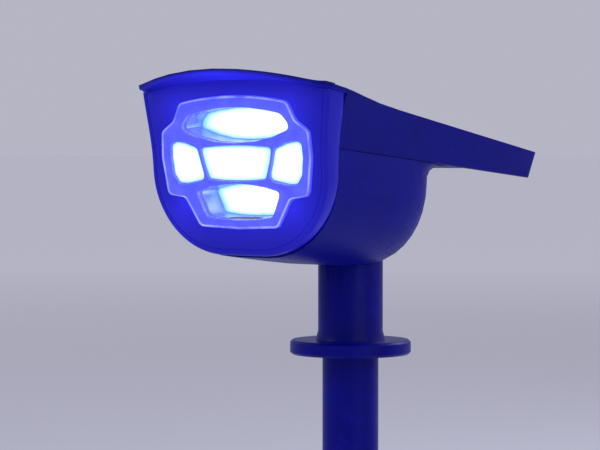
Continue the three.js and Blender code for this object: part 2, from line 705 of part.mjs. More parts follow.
function addElectronics() {
  const y = board.y;
  const sheet = boxBetween(
    [-board.halfWidth, y, board.bottom],
    [board.halfWidth, y + board.thickness, board.top],
  );
  part('control_board', sheet, paint.board);
  const rear = y + board.thickness + 0.05;
  part('tactile_switch', boxBetween([-3, rear, button.z - 3], [3, rear + 2.6, button.z + 3]), paint.nylon);
  part('controller_chip', boxBetween([9, rear, button.z - 2.5], [16, rear + 1.4, button.z + 2.5]), paint.nylon);
  part('charge_connector', boxBetween([-14, y - 5.1, 182.6], [-6, y - 0.05, 189]), paint.boardWhite);
  part('lamp_connector', boxBetween([6, y - 5.1, 182.6], [14, y - 0.05, 189]), paint.boardWhite);

  const half = cell.length / 2;
  part('battery_cell', bar('x', cell.radius, -half, half, [cell.y, cell.z], 28), paint.battery);
  const trough = cut(
    solid(boxBetween([-half + 4, cell.y - 11.4, cell.z - 11], [half - 4, cell.y + 11.4, cell.z - 2])),
    solid(bar('x', cell.radius + gap, -40, 40, [cell.y, cell.z], 28)),
  );
  part('battery_cradle', shapeOf(trough), paint.nylon);
}

function addButton() {
  const capFront = 14.5 + 1.6;
  const cap = united(
    solid(bar('y', button.radius, 11, capFront, [0, button.z], 24)),
    solid(bar('y', button.radius + 1.6, 9.2, 11, [0, button.z], 24)),
    solid(bar('y', 1.6, 7.2, 10, [0, button.z], 12)),
  );
  part('power_button', shapeOf(cap), paint.rubber);
}

function addScrews() {
  screwPosts.forEach(([x, y], i) => {
    const seat = seamZ(y) + post.shoulder;
    const screw = united(
      solid(bar('z', 2.7, seat + gap, seat + 2.4, [x, y], 16)),
      solid(bar('z', 1.35, seamZ(y) - post.grip, seat + 1, [x, y], 12)),
    );
    part(`case_screw_${i + 1}`, shapeOf(screw), paint.steel);
  });
}

const wireRoutes = {
  solar_wire_red: [[-8, -8, 188.5], [-9, -14, 192], [-8, -20, 200], [-7, -20, 209.5]],
  solar_wire_black: [[-12, -8, 188.5], [-13.5, -14, 193], [-13, -20, 200], [-12, -20, 209.5]],
  battery_wire_red: [[-10.5, -8, 185], [-18, -10, 185], [-30, -16, 187], [-37, -28, 190], [-34.5, cell.y, cell.z]],
  battery_wire_black: [[10.5, -8, 185], [18, -10, 185], [30, -16, 187], [37, -28, 190], [34.5, cell.y, cell.z]],
  lamp_wire_red: [[9, -8, 188], [11, -16, 197], [12, -36, 203.5], [12, -54, 200], [10, -60.5, 192]],
  lamp_wire_black: [[12.5, -8, 188], [16, -16, 197], [17, -36, 203.5], [17, -54, 200], [15, -60.5, 192]],
};

function addWires() {
  const section = new THREE.Shape();
  const radius = 0.75;
  for (let i = 0; i < 6; i += 1) {
    const angle = i * 60 * degrees;
    const point = [radius * Math.cos(angle), radius * Math.sin(angle)];
    if (i === 0) {
      section.moveTo(...point);
    } else {
      section.lineTo(...point);
    }
  }
  for (const [name, points] of Object.entries(wireRoutes)) {
    const path = new THREE.CatmullRomCurve3(points.map((point) => new THREE.Vector3(...point)));
    const tube = new THREE.ExtrudeGeometry(section, { steps: 16, bevelEnabled: false, extrudePath: path });
    part(name, tube, name.endsWith('red') ? paint.redWire : paint.blackWire);
  }
}

part('lamp_housing', makeHousing(), paint.shell);
part('top_frame', makeTopFrame(), paint.shell);
addFace();
addPanel();
addElectronics();
addButton();
addScrews();
addPivot();
addWires();
addStand();

const group = new THREE.Group();
group.add(lampHead, stand);

export default group;
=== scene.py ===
import math

import bmesh
import bpy
from mathutils import Matrix, Vector


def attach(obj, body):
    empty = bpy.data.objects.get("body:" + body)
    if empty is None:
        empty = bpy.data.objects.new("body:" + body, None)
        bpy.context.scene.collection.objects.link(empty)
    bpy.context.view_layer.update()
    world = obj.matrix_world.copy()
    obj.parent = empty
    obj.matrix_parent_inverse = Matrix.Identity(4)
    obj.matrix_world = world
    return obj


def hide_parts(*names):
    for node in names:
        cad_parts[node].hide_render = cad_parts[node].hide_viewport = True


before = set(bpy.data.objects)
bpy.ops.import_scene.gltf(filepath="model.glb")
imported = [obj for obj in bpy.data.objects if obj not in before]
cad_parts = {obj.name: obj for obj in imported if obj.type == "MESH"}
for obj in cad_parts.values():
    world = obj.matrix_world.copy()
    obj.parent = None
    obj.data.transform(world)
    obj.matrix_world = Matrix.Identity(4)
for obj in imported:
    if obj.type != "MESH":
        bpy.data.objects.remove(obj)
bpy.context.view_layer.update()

mm = 0.001          # shapes and patterns are written in millimetres


class Field:
    # a value that changes over a surface; sums and products of it add Math nodes
    def __init__(self, tree, socket):
        self.tree = tree
        self.socket = socket

    def math(self, operation, *values):
        node = self.tree.nodes.new("ShaderNodeMath")
        node.operation = operation
        for i, value in enumerate(values):
            plug(self.tree, node.inputs[i], value)
        return Field(self.tree, node.outputs[0])

    def __add__(self, other):
        return self.math("ADD", self, other)

    def __radd__(self, other):
        return self.math("ADD", other, self)

    def __sub__(self, other):
        return self.math("SUBTRACT", self, other)

    def __rsub__(self, other):
        return self.math("SUBTRACT", other, self)

    def __mul__(self, other):
        return self.math("MULTIPLY", self, other)

    def __rmul__(self, other):
        return self.math("MULTIPLY", other, self)

    def __truediv__(self, other):
        return self.math("DIVIDE", self, other)

    def __pow__(self, other):
        return self.math("POWER", self, other)

    def __gt__(self, other):
        return self.math("GREATER_THAN", self, other)

    def __lt__(self, other):
        return self.math("LESS_THAN", self, other)

    def __abs__(self):
        return self.math("ABSOLUTE", self)

    def atLeast(self, low):
        return self.math("MAXIMUM", self, low)

    def atMost(self, high):
        return self.math("MINIMUM", self, high)

    def exponent(self):
        return self.math("EXPONENT", self)

    def fraction(self):
        return self.math("FRACT", self)


def plug(tree, socket, value):
    if isinstance(value, Field):
        tree.links.new(value.socket, socket)
    elif value is not None:
        isColour = hasattr(socket.default_value, "__len__") and len(socket.default_value) == 4
        if isColour and len(value) == 3:
            value = (*value, 1)
        socket.default_value = value


def fillRamp(ramp, stops):
    while len(ramp.elements) < len(stops):
        ramp.elements.new(0.5)
    for element, (place, colour) in zip(ramp.elements, stops):
        if not hasattr(colour, "__len__"):
            colour = (colour, colour, colour)
        element.position = place
        element.color = (*colour, 1)


class Finish:
    # one material, made of a Principled shader and whatever feeds it
    def __init__(self, name, **fixed):
        self.material = bpy.data.materials.new(name)
        self.material.use_nodes = True
        self.tree = self.material.node_tree
        self.shader = self.tree.nodes["Principled BSDF"]
        self.coords = self.node("ShaderNodeTexCoord", out="Object")
        for socket, value in fixed.items():
            self.feed(socket, value)

    def node(self, kind, settings=None, inputs=None, out=0):
        node = self.tree.nodes.new(kind)
        for key, value in (settings or {}).items():
            if key == "stops":
                fillRamp(node.color_ramp, value)
            else:
                setattr(node, key, value)
        for key, value in (inputs or {}).items():
            plug(self.tree, node.inputs[key], value)
        return Field(self.tree, node.outputs[out])

    def feed(self, socket, value):
        plug(self.tree, self.shader.inputs[socket.replace("_", " ")], value)

    def noise(self, size, detail=3, rough=0.55, stretch=None):
        # size is how wide one blotch is
        place = self.coords
        if stretch:
            place = self.node("ShaderNodeMapping", inputs={"Vector": place, "Scale": stretch})
        return self.node("ShaderNodeTexNoise", inputs={
            "Vector": place, "Scale": 1 / (size * mm), "Detail": detail, "Roughness": rough})

    def pebbles(self, size, out="Distance"):
        return self.node("ShaderNodeTexVoronoi", {"feature": "F1"}, {
            "Vector": self.coords, "Scale": 1 / (size * mm)}, out)

    def axis(self, letter):
        return self.node("ShaderNodeSeparateXYZ", inputs={"Vector": self.coords}, out=letter) / mm

    def ramp(self, value, *stops):
        return self.node("ShaderNodeValToRGB", {"stops": stops}, {"Fac": value})

    def mix(self, factor, first, second):
        return self.node("ShaderNodeMix", {"data_type": "RGBA"},
                         {0: factor, 6: first, 7: second}, out=2)

    def attribute(self, name):
        return self.node("ShaderNodeAttribute", {"attribute_name": name}, out="Fac")

    def bump(self, height, distance, strength, under=None):
        relief = self.node("ShaderNodeBump", inputs={
            "Height": height, "Distance": distance * mm, "Strength": strength, "Normal": under})
        self.feed("Normal", relief)
        return relief


visorGlow = dict(
    colour=(0.022, 0.020, 0.75),
    height=215.2, slope=-0.1736, crown=4.5, halfWidth=50,      # the roof's outer surface
    skin=0.9, blur=0.6,                                        # how far below it the light starts
    front=-70.5, fade=1.0, reach=62,
)


def visorLight(finish):
    # the underside of the visor catches the lamp's light; the outside of the frame stays dark
    look = visorGlow
    x, y, z = (finish.axis(letter) for letter in "XYZ")
    crown = (1 - (x / look["halfWidth"]) ** 2).atLeast(0) * look["crown"]
    below = y * look["slope"] + crown + look["height"] - z
    inside = ((below - look["skin"]) / look["blur"]).atLeast(0).atMost(1)
    forward = ((look["front"] - y) / look["fade"]).atLeast(0).atMost(1)
    middle = (1 - abs(x) / look["reach"]).atLeast(0)
    lit = inside * forward * middle
    finish.feed("Emission Color", finish.mix(lit, (0, 0, 0), look["colour"]))
    finish.feed("Emission Strength", 1.0)


shellLook = dict(
    deep=(0.0010, 0.0012, 0.165), worn=(0.0018, 0.0025, 0.255), dusty=(0.005, 0.007, 0.290),
    dustCover=0.55, shine=0.09, grain=0.55, cloud=26, speck=1.6, dust=7, wave=11, waveDepth=0.12,
)


def mouldedPlastic(name, tint, grainDepth, rough):
    look = shellLook
    finish = Finish(name, Specular_IOR_Level=look["shine"], IOR=1.5)
    low = tuple(c * tint for c in look["deep"])
    high = tuple(c * tint for c in look["worn"])
    base = finish.mix(finish.noise(look["cloud"], 4), low, high)
    dust = finish.noise(look["dust"], 8, 0.72)
    film = finish.ramp(dust, (0.50, 0.0), (0.78, look["dustCover"]))
    finish.feed("Base Color", finish.mix(film, base, look["dusty"]))
    speck = finish.noise(look["speck"], 6, 0.7)
    finish.feed("Roughness", finish.ramp(speck, (0.35, rough - 0.06), (0.7, rough + 0.12)))
    grain = finish.bump(finish.pebbles(look["grain"]), grainDepth, 0.55)
    finish.bump(finish.noise(look["wave"], 2, 0.4), look["waveDepth"], 0.35, grain)
    return finish


bezelLook = dict(
    deep=(0.0014, 0.0017, 0.160), worn=(0.0026, 0.0034, 0.250), shine=0.16,
    glow=(0.022, 0.019, 0.66), rest=(0.0, 0.0, 0.04),
    centre=198, halfWidth=31, halfHeight=21, reach=15,         # where the light starts to fade
    cloud=22, speck=1.5, grain=0.55, grainDepth=0.04, wave=12, waveDepth=0.1,
)


def bezelPlastic():
    # the same plastic, lit from inside near the lens where the lamp's light spreads in it
    look = bezelLook
    finish = Finish("bezelPlastic", Specular_IOR_Level=look["shine"], IOR=1.5,
                    Emission_Strength=1.0)
    cloud = finish.noise(look["cloud"], 4)
    finish.feed("Base Color", finish.mix(cloud, look["deep"], look["worn"]))
    across = (abs(finish.axis("X")) - look["halfWidth"]).atLeast(0)
    upward = (abs(finish.axis("Z") - look["centre"]) - look["halfHeight"]).atLeast(0)
    away = (across * across + upward * upward) ** 0.5
    fade = (away * (-1 / look["reach"])).exponent()
    finish.feed("Emission Color", finish.mix(fade, look["rest"], look["glow"]))
    speck = finish.noise(look["speck"], 6, 0.7)
    finish.feed("Roughness", finish.ramp(speck, (0.3, 0.30), (0.7, 0.46)))
    grain = finish.bump(finish.pebbles(look["grain"]), look["grainDepth"], 0.5)
    finish.bump(finish.noise(look["wave"], 2, 0.4), look["waveDepth"], 0.3, grain)
    return finish.material


lensLook = dict(
    thin=(0.03, 0.03, 0.50), thick=(0.07, 0.08, 0.80),
    glowLow=(0.030, 0.034, 0.42), glowHigh=(0.085, 0.105, 0.85),
    haze=9, smear=2, ripple=5, rippleDepth=0.1, clearest=0.82, milkiest=0.92,
)


def lensPlastic():
    look = lensLook
    finish = Finish("lensPlastic", Specular_IOR_Level=0.4, IOR=1.58, Emission_Strength=1.0,
                    Coat_Weight=0.25, Coat_Roughness=0.05)
    haze = finish.noise(look["haze"], 4, 0.6)
    finish.feed("Base Color", finish.mix(haze, look["thin"], look["thick"]))
    finish.feed("Emission Color", finish.mix(haze, look["glowLow"], look["glowHigh"]))
    smear = finish.noise(look["smear"], 5, 0.6)
    finish.feed("Roughness", finish.ramp(smear, (0.3, 0.08), (0.75, 0.2)))
    finish.feed("Alpha", finish.ramp(haze, (0.2, look["clearest"]), (0.8, look["milkiest"])))
    finish.bump(finish.noise(look["ripple"], 3, 0.5), look["rippleDepth"], 0.4)
    return finish.material


rimLook = dict(
    deep=(0.05, 0.06, 0.60), pale=(0.20, 0.24, 0.95),
    glowLow=(0.05, 0.05, 0.45), glowHigh=(0.22, 0.26, 0.95), haze=14, ripple=3, rippleDepth=0.05,
)


def rimPlastic():
    # the lens edge pipes the lamp's light, so it is paler than the border
    look = rimLook
    finish = Finish("rimPlastic", IOR=1.58, Emission_Strength=1.0,
                    Coat_Weight=0.5, Coat_Roughness=0.05)
    haze = finish.noise(look["haze"], 3, 0.6)
    finish.feed("Base Color", finish.mix(haze, look["deep"], look["pale"]))
    piped = finish.ramp(haze, (0.35, look["glowLow"]), (0.62, look["glowHigh"]))
    finish.feed("Emission Color", piped)
    finish.feed("Roughness", 0.08 + haze * 0.12)
    finish.bump(finish.noise(look["ripple"], 3, 0.5), look["rippleDepth"], 0.3)
    return finish.material


paneLook = dict(
    colour=(0.8, 0.92, 1.0), ior=1.58, coat=0.5, coatRough=0.03,
    smear=6, smearRough=0.65, smearDetail=5, wave=14, waveDepth=0.05,
    rough=((0.3, 0.03), (0.8, 0.16)), cover=((0.35, 0.10), (0.8, 0.20)),
)
coverLook = dict(
    colour=(0.25, 0.32, 0.48), ior=1.52, coat=0.8, coatRough=0.02,
    smear=8, smearRough=0.7, smearDetail=8, wave=2.4, waveDepth=0.03,
    rough=((0.35, 0.04), (0.75, 0.22)), cover=((0.40, 0.10), (0.85, 0.30)),
)


def clearSheet(name, look):
    # a see-through sheet with smears or dust on it
    finish = Finish(name, Base_Color=look["colour"], IOR=look["ior"],
                    Coat_Weight=look["coat"], Coat_Roughness=look["coatRough"])
    smear = finish.noise(look["smear"], look["smearDetail"], look["smearRough"])
    finish.feed("Roughness", finish.ramp(smear, *look["rough"]))
    finish.feed("Alpha", finish.ramp(smear, *look["cover"]))
    finish.bump(finish.noise(look["wave"], 2, 0.4), look["waveDepth"], 0.3)
    return finish.material


lampLook = dict(
    brightness=7.0, ripple=3.5, rippleDepth=0.06, patchiness=0.10,
    glow=((0.0, (0.004, 0.050, 0.12)), (0.07, (0.03, 0.115, 0.15)), (0.16, (0.105, 0.14, 0.15)),
          (0.34, (0.20, 0.21, 0.22)), (1.0, (1.0, 1.0, 1.0))),
)


def lampGlow():
    # lit optics: white in the middle, cyan and then blue at the rim
    look = lampLook
    finish = Finish("lampGlow", Roughness=0.25, Base_Color=(0.75, 0.88, 1.0),
                    Emission_Strength=look["brightness"])
    ripple = finish.noise(look["ripple"], 3, 0.5)
    level = finish.attribute("glow") + (ripple - 0.5) * look["patchiness"]
    finish.feed("Emission Color", finish.ramp(level, *look["glow"]))
    finish.bump(ripple, look["rippleDepth"], 0.4)
    return finish.material


chromeLook = dict(deep=(0.16, 0.22, 0.98), bright=(0.30, 0.42, 1.0),
                  haze=4, ripple=1.2, rippleDepth=0.03)


def metallised():
    look = chromeLook
    finish = Finish("metallised", Metallic=1.0)
    haze = finish.noise(look["haze"], 5, 0.6)
    finish.feed("Base Color", finish.mix(haze, look["deep"], look["bright"]))
    finish.feed("Roughness", finish.ramp(haze, (0.3, 0.16), (0.75, 0.34)))
    finish.bump(finish.noise(look["ripple"], 3, 0.5), look["rippleDepth"], 0.4)
    return finish.material


zincLook = dict(dark=(0.341, 0.3465, 0.363), bright=(0.55, 0.55, 0.561), stain=(0.16, 0.13, 0.10),
                streak=0.5, stretch=(1, 1, 14), spots=2.2, streakDepth=0.02)


def zincSteel():
    look = zincLook
    finish = Finish("zincSteel", Metallic=1.0)
    brushed = finish.noise(look["streak"], 4, 0.6, look["stretch"])
    spots = finish.noise(look["spots"], 6, 0.7)
    stains = finish.ramp(spots, (0.6, 0.0), (0.8, 0.5))
    base = finish.mix(brushed, look["dark"], look["bright"])
    finish.feed("Base Color", finish.mix(stains, base, look["stain"]))
    finish.feed("Roughness", finish.ramp(spots, (0.3, 0.22), (0.75, 0.45)))
    finish.bump(brushed, look["streakDepth"], 0.4)
    return finish.material


cellLook = dict(
    dark=(0.004, 0.008, 0.045), light=(0.010, 0.026, 0.115), silver=(0.42, 0.44, 0.48), flake=5,
    finger=1.55, fingerWidth=0.10, fingerTone=0.55,     # spacing, then width as a share of it
    busbar=9.4, busbarWidth=0.07, firstBusbar=43.7, lineDepth=0.03,
)


def solarCell():
    look = cellLook
    finish = Finish("solarCell", Coat_Weight=0.7, Coat_Roughness=0.06)
    fingers = (finish.axis("Y") / look["finger"]).fraction() < look["fingerWidth"]
    along = (finish.axis("X") + look["firstBusbar"]) / look["busbar"] + 0.5
    lines = (fingers * look["fingerTone"]).atLeast(along.fraction() < look["busbarWidth"])
    flakes = finish.pebbles(look["flake"], "Color")
    tone = finish.node("ShaderNodeSeparateColor", inputs={"Color": flakes})
    silicon = finish.mix(tone, look["dark"], look["light"])
    finish.feed("Base Color", finish.mix(lines, silicon, look["silver"]))
    finish.feed("Roughness", 0.22 + lines * 0.2 + tone * 0.08)
    finish.feed("Metallic", lines * 0.8)
    finish.bump(lines, look["lineDepth"], 0.6)
    return finish.material


plainLooks = dict(
    siliconeRubber=dict(low=(0.006, 0.006, 0.008), high=(0.018, 0.018, 0.021), rough=(0.6, 0.85),
                        size=1.5, depth=0.05),
    buttonRubber=dict(low=(0.010, 0.010, 0.014), high=(0.026, 0.026, 0.032), rough=(0.5, 0.7),
                      size=1.2, depth=0.05),
    blackNylon=dict(low=(0.010, 0.010, 0.012), high=(0.026, 0.026, 0.030), rough=(0.4, 0.6),
                    size=2.0, depth=0.04),
    laminateSheet=dict(low=(0.010, 0.011, 0.016), high=(0.020, 0.022, 0.032), rough=(0.4, 0.6),
                       size=1.0, depth=0.04),
    whiteNylon=dict(low=(0.62, 0.62, 0.58), high=(0.80, 0.80, 0.77), rough=(0.35, 0.55),
                    size=2.0, depth=0.03),
    ledPackage=dict(low=(0.70, 0.80, 0.90), high=(0.90, 0.95, 1.0), rough=(0.15, 0.3),
                    size=0.6, depth=0.02),
    batteryWrap=dict(low=(0.02, 0.17, 0.42), high=(0.04, 0.25, 0.56), rough=(0.22, 0.38),
                     size=5.0, depth=0.03),
    redWire=dict(low=(0.35, 0.008, 0.008), high=(0.50, 0.02, 0.015), rough=(0.3, 0.45),
                 size=1.5, depth=0.02),
    blackWire=dict(low=(0.006, 0.006, 0.007), high=(0.016, 0.016, 0.018), rough=(0.3, 0.45),
                   size=1.5, depth=0.02),
)


def plainPlastic(name, low, high, rough, size, depth):
    finish = Finish(name)
    tone = finish.noise(size, 6, 0.65)
    finish.feed("Base Color", finish.mix(tone, low, high))
    finish.feed("Roughness", finish.ramp(tone, (0.3, rough[0]), (0.75, rough[1])))
    finish.bump(finish.noise(size * 0.25, 4, 0.6), depth, 0.5)
    return finish.material


boardLooks = dict(
    greenBoard=dict(mask=(0.010, 0.13, 0.045), track=(0.02, 0.24, 0.08)),
    whiteBoard=dict(mask=(0.72, 0.73, 0.72), track=(0.55, 0.56, 0.56)),
)
trackPattern = dict(upright=1.27, uprightWidth=0.28, level=2.54, levelWidth=0.14,
                    patch=5, patchShare=0.52, trackDepth=0.035)


def circuitBoard(name, mask, track):
    look = trackPattern
    finish = Finish(name, Coat_Weight=0.4, Coat_Roughness=0.15)
    upright = (finish.axis("X") / look["upright"]).fraction() < look["uprightWidth"]
    level = (finish.axis("Z") / look["level"]).fraction() < look["levelWidth"]
    patch = finish.noise(look["patch"], 2, 0.5) > look["patchShare"]
    tracks = (upright * patch).atLeast(level * (1 - patch))
    tone = finish.noise(4, 4, 0.6)
    dark = tuple(c * 0.8 for c in mask)
    finish.feed("Base Color", finish.mix(tracks, finish.mix(tone, dark, mask), track))
    finish.feed("Roughness", 0.32 + tone * 0.2)
    finish.bump(tracks, look["trackDepth"], 0.6)
    return finish.material


shell = mouldedPlastic("mouldedPlastic", tint=1.0, grainDepth=0.05, rough=0.42).material
polePlastic = mouldedPlastic("polePlastic", tint=0.85, grainDepth=0.03, rough=0.36).material
stakePlastic = mouldedPlastic("stakePlastic", tint=0.9, grainDepth=0.05, rough=0.5).material
frameFinish = mouldedPlastic("framePlastic", tint=0.92, grainDepth=0.06, rough=0.46)
visorLight(frameFinish)
plain = {name: plainPlastic(name, **values) for name, values in plainLooks.items()}
boards = {name: circuitBoard(name, **values) for name, values in boardLooks.items()}
print("finishes made")


def smooth(mesh, crease):
    for polygon in mesh.polygons:
        polygon.use_smooth = True
    mesh.set_sharp_from_angle(angle=math.radians(crease))


def piece(name, bm, look=None, body=None, stands=(), crease=32):
    bmesh.ops.remove_doubles(bm, verts=bm.verts, dist=0.002 * mm)
    mesh = bpy.data.meshes.new(name)
    bm.to_mesh(mesh)
    bm.free()
    obj = bpy.data.objects.new(name, mesh)
    bpy.context.scene.collection.objects.link(obj)
    mesh.materials.append(look)
    smooth(mesh, crease)
    if body:
        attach(obj, body)
        if stands:
            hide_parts(*stands)
    return obj


def rounded(obj, width, segments=3, angle=35):
    bevel = obj.modifiers.new("roundedEdges", "BEVEL")
    bevel.width = width * mm
    bevel.segments = segments
    bevel.limit_method = "ANGLE"
    bevel.angle_limit = math.radians(angle)
    bevel.use_clamp_overlap = True
    bevel.harden_normals = False


def baked(obj):
    # the mesh takes the shape that its modifiers give it
    bpy.context.view_layer.update()
    finished = obj.evaluated_get(bpy.context.evaluated_depsgraph_get())
    shape = bpy.data.meshes.new_from_object(finished)
    obj.modifiers.clear()
    obj.data = shape


def carve(obj, cutters, operation="DIFFERENCE"):
    for cutter in cutters:
        change = obj.modifiers.new("carve", "BOOLEAN")
        change.operation = operation
        change.solver = "EXACT"
        change.object = cutter
        baked(obj)
        bpy.data.objects.remove(cutter)


def cutterPiece(bm, place=None):
    if place is not None:
        bmesh.ops.transform(bm, matrix=place, verts=bm.verts)
    return piece("cutter", bm)


def settle(obj, body, node, crease, place=None):
    # a carved piece is put in place, shaded and tied to the frame
    if place is not None:
        obj.data.transform(place)
    smooth(obj.data, crease)
    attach(obj, body)
    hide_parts(node)


def mirrored(half):
    return half + [(-x, z) for x, z in reversed(half) if abs(x) > 0.01]


cornerRule = dict(bend=18, share=0.48, steps=8)     # least bend in degrees, most of a side used


def roundedRing(points, radius, count=96):
    # the outline with its real corners rounded, as evenly spaced points
    path = []
    for i, point in enumerate(points):
        here = Vector(point)
        toBefore = Vector(points[i - 1]) - here
        toAfter = Vector(points[(i + 1) % len(points)]) - here
        turn = math.pi - toBefore.angle(toAfter)
        if turn < math.radians(cornerRule["bend"]):
            path.append(here)
            continue
        reach = min(radius * math.tan(turn / 2), cornerRule["share"] * toBefore.length,
                    cornerRule["share"] * toAfter.length)
        start = here + toBefore.normalized() * reach
        end = here + toAfter.normalized() * reach
        for step in range(cornerRule["steps"] + 1):
            t = step / cornerRule["steps"]
            path.append(start * (1 - t) ** 2 + here * 2 * t * (1 - t) + end * t * t)
    spans = [(path[(i + 1) % len(path)] - p).length for i, p in enumerate(path)]
    ring, walked, i = [], 0.0, 0
    for step in range(count):
        target = sum(spans) * step / count
        while walked + spans[i] < target:
            walked += spans[i]
            i += 1
        along = (target - walked) / spans[i]
        ring.append(path[i].lerp(path[(i + 1) % len(path)], along))
    return ring


def shrunk(ring, share, grow=0.0):
    centre = sum(ring, Vector((0, 0))) / len(ring)
    return [centre + (p - centre) * (share + grow / (p - centre).length) for p in ring]


def atDepth(ring, depth):
    return [(p[0], depth, p[1]) for p in ring]


def skin(rings, cap=True):
    # a grid rolled into a tube through the rings, with its ends filled
    bm = bmesh.new()
    around, along = len(rings[0]), len(rings)
    bmesh.ops.create_grid(bm, x_segments=around, y_segments=along - 1, size=1)
    order = sorted(bm.verts, key=lambda v: (round(v.co.y, 5), v.co.x))
    for i, vert in enumerate(order):
        row, column = divmod(i, around + 1)
        vert.co = Vector(rings[row][column % around]) * mm
    bmesh.ops.remove_doubles(bm, verts=bm.verts, dist=0.004 * mm)
    if cap:
        bmesh.ops.holes_fill(bm, edges=bm.edges, sides=0)
    bmesh.ops.recalc_face_normals(bm, faces=bm.faces)
    return bm


def slab(points, start, end, radius, grow=0.0):
    ring = shrunk(roundedRing(points, radius), 1, grow)
    return skin([atDepth(ring, start), atDepth(ring, end)])


# the sloping roof, its crowned visor, and the tilted face that the front module is built on
headShape = dict(
    roofHeight=213.7, roofSlope=-0.1736, roofStretch=1.015,
    faceDepth=-80.0, faceHeight=201.5, faceTilt=5.0,
    browLift=1.5, browCrown=4.5, browHalfWidth=50, browThickness=2.0, gap=0.3,
)
facePlace = (Matrix.Translation((0, headShape["faceDepth"] * mm, headShape["faceHeight"] * mm))
             @ Matrix.Rotation(math.radians(headShape["faceTilt"]), 4, "X"))


def crownHeight(x):
    return headShape["browCrown"] * max(0, 1 - (x / headShape["browHalfWidth"]) ** 2)


def roofUnder(x, y):
    shape = headShape
    crown = shape["browLift"] + crownHeight(x)
    drop = (crown - shape["browThickness"] - shape["gap"]) * shape["roofStretch"]
    return shape["roofHeight"] + shape["roofSlope"] * y + drop


def frontPlane(z):
    tilt = math.tan(math.radians(headShape["faceTilt"]))
    return headShape["faceDepth"] - (z - headShape["faceHeight"]) * tilt


# outlines run from the top middle down the right side, measured from the middle of the tilted face
lensShape = dict(
    half=[(0, 23.8), (6.1, 23.68), (12.2, 23.32), (18.3, 22.72), (24.4, 21.88), (30.5, 20.8),
          (34.6, 12.8), (41.6, 8.4), (42.3, -3), (39.8, -19.4), (30, -20.6), (22, -33.2),
          (0, -34.1)],
    cornerRadius=3.0, front=-0.8, back=1.6, edge=0.7, windowCut=(-5, 6), windowGap=0.15,
)
windowHalves = dict(
    top=[(0, 18.4), (9, 18.1), (18, 17.1), (26.2, 15.6), (29.9, 11.6), (30.2, 9.0), (21.5, 6.0),
         (10.8, 3.9), (0, 3.3)],
    centre=[(0, 2.2), (10, 1.9), (20.4, 1.3), (18.7, -5.5), (16.2, -12.3), (8, -13.0), (0, -13.2)],
    bottom=[(0, -14.4), (8, -14.9), (15.2, -15.8), (22.9, -17.6), (23.2, -19.2), (19.4, -27.6),
            (17.8, -28.6), (8.6, -29.6), (0, -29.9)],
)
sideWindow = [(21.7, 0.9), (28.5, 3.2), (34, 4.0), (36.9, 2.9), (37.2, -3), (36.3, -10.3),
              (33.4, -14.4), (29, -14.6), (17.7, -12.6), (19.9, -5.5)]
windowRadius = dict(top=4.5, bottom=4.0, centre=2.0, left=3.0, right=3.0)

lensOutline = mirrored(lensShape["half"])
windowOutlines = {name: mirrored(half) for name, half in windowHalves.items()}
windowOutlines["right"] = sideWindow
windowOutlines["left"] = [(-x, z) for x, z in reversed(sideWindow)]


def makeLensCover():
    shape = lensShape
    bm = slab(lensOutline, shape["front"], shape["back"], shape["cornerRadius"])
    cover = piece("lensBorder", bm, lensPlastic())
    start, end = shape["windowCut"]
    carve(cover, [cutterPiece(slab(points, start, end, windowRadius[name], shape["windowGap"]))
                  for name, points in windowOutlines.items()])
    rounded(cover, shape["edge"], 4)
    baked(cover)
    settle(cover, "head", "lens_cover", 40, facePlace)


rimShape = dict(inset=0.75, radius=0.5, sides=10, points=160, height=-0.75)


def makeLensRim():
    # a thin raised bead that catches the light all round the lens
    shape = rimShape
    outline = roundedRing(lensOutline, lensShape["cornerRadius"], shape["points"])
    line = shrunk(outline, 1, -shape["inset"])
    rings = []
    for side in range(shape["sides"] + 1):
        turn = 2 * math.pi * side / shape["sides"]
        rings.append(atDepth(shrunk(line, 1, shape["radius"] * math.cos(turn)),
                             shape["height"] - shape["radius"] * math.sin(turn)))
    bm = skin(rings, cap=False)
    bmesh.ops.transform(bm, matrix=facePlace, verts=bm.verts)
    piece("lensRim", bm, rimPlastic(), "head", crease=60)


paneShape = dict(front=-0.35, back=-0.12, dome=0.55, steps=8, overlap=0.1)


def domed(ring, depth, share):
    return atDepth(shrunk(ring, share), depth - paneShape["dome"] * (1 - share ** 2))


def appendTo(whole, bm):
    mesh = bpy.data.meshes.new("part")
    bm.to_mesh(mesh)
    bm.free()
    whole.from_mesh(mesh)
    bpy.data.meshes.remove(mesh)


def makePanes():
    # clear windows that bulge a little, set in the border
    shape = paneShape
    whole = bmesh.new()
    shares = [step / shape["steps"] for step in range(1, shape["steps"] + 1)]
    for name, points in windowOutlines.items():
        ring = shrunk(roundedRing(points, windowRadius[name]), 1, shape["overlap"])
        inner = [domed(ring, shape["back"], share) for share in shares]
        outer = [domed(ring, shape["front"], share) for share in shares]
        appendTo(whole, skin(inner + outer[::-1]))
    bmesh.ops.transform(whole, matrix=facePlace, verts=whole.verts)
    look = clearSheet("clearPane", paneLook)
    piece("windowPanes", whole, look, "head", crease=50)


cupShape = dict(
    mouth=3.2, above=2, steps=10, curve=1.6,
    depth=dict(top=9.5, bottom=9.5, centre=2.0, left=2.0, right=2.0),
    narrow=dict(top=0.95, bottom=0.94, centre=0.98, left=0.98, right=0.98),
)
reflectorShape = dict(front=3.2, back=15.2, cornerRadius=2.5, inset=4.4, edge=0.3)


def cupRings(name, ring):
    shape = cupShape
    rings = [atDepth(ring, shape["mouth"] - shape["above"])]
    for step in range(shape["steps"] + 1):
        along = step / shape["steps"]
        share = 1 - (1 - shape["narrow"][name]) * along ** shape["curve"]
        rings.append(atDepth(shrunk(ring, share), shape["mouth"] + shape["depth"][name] * along))
    return rings


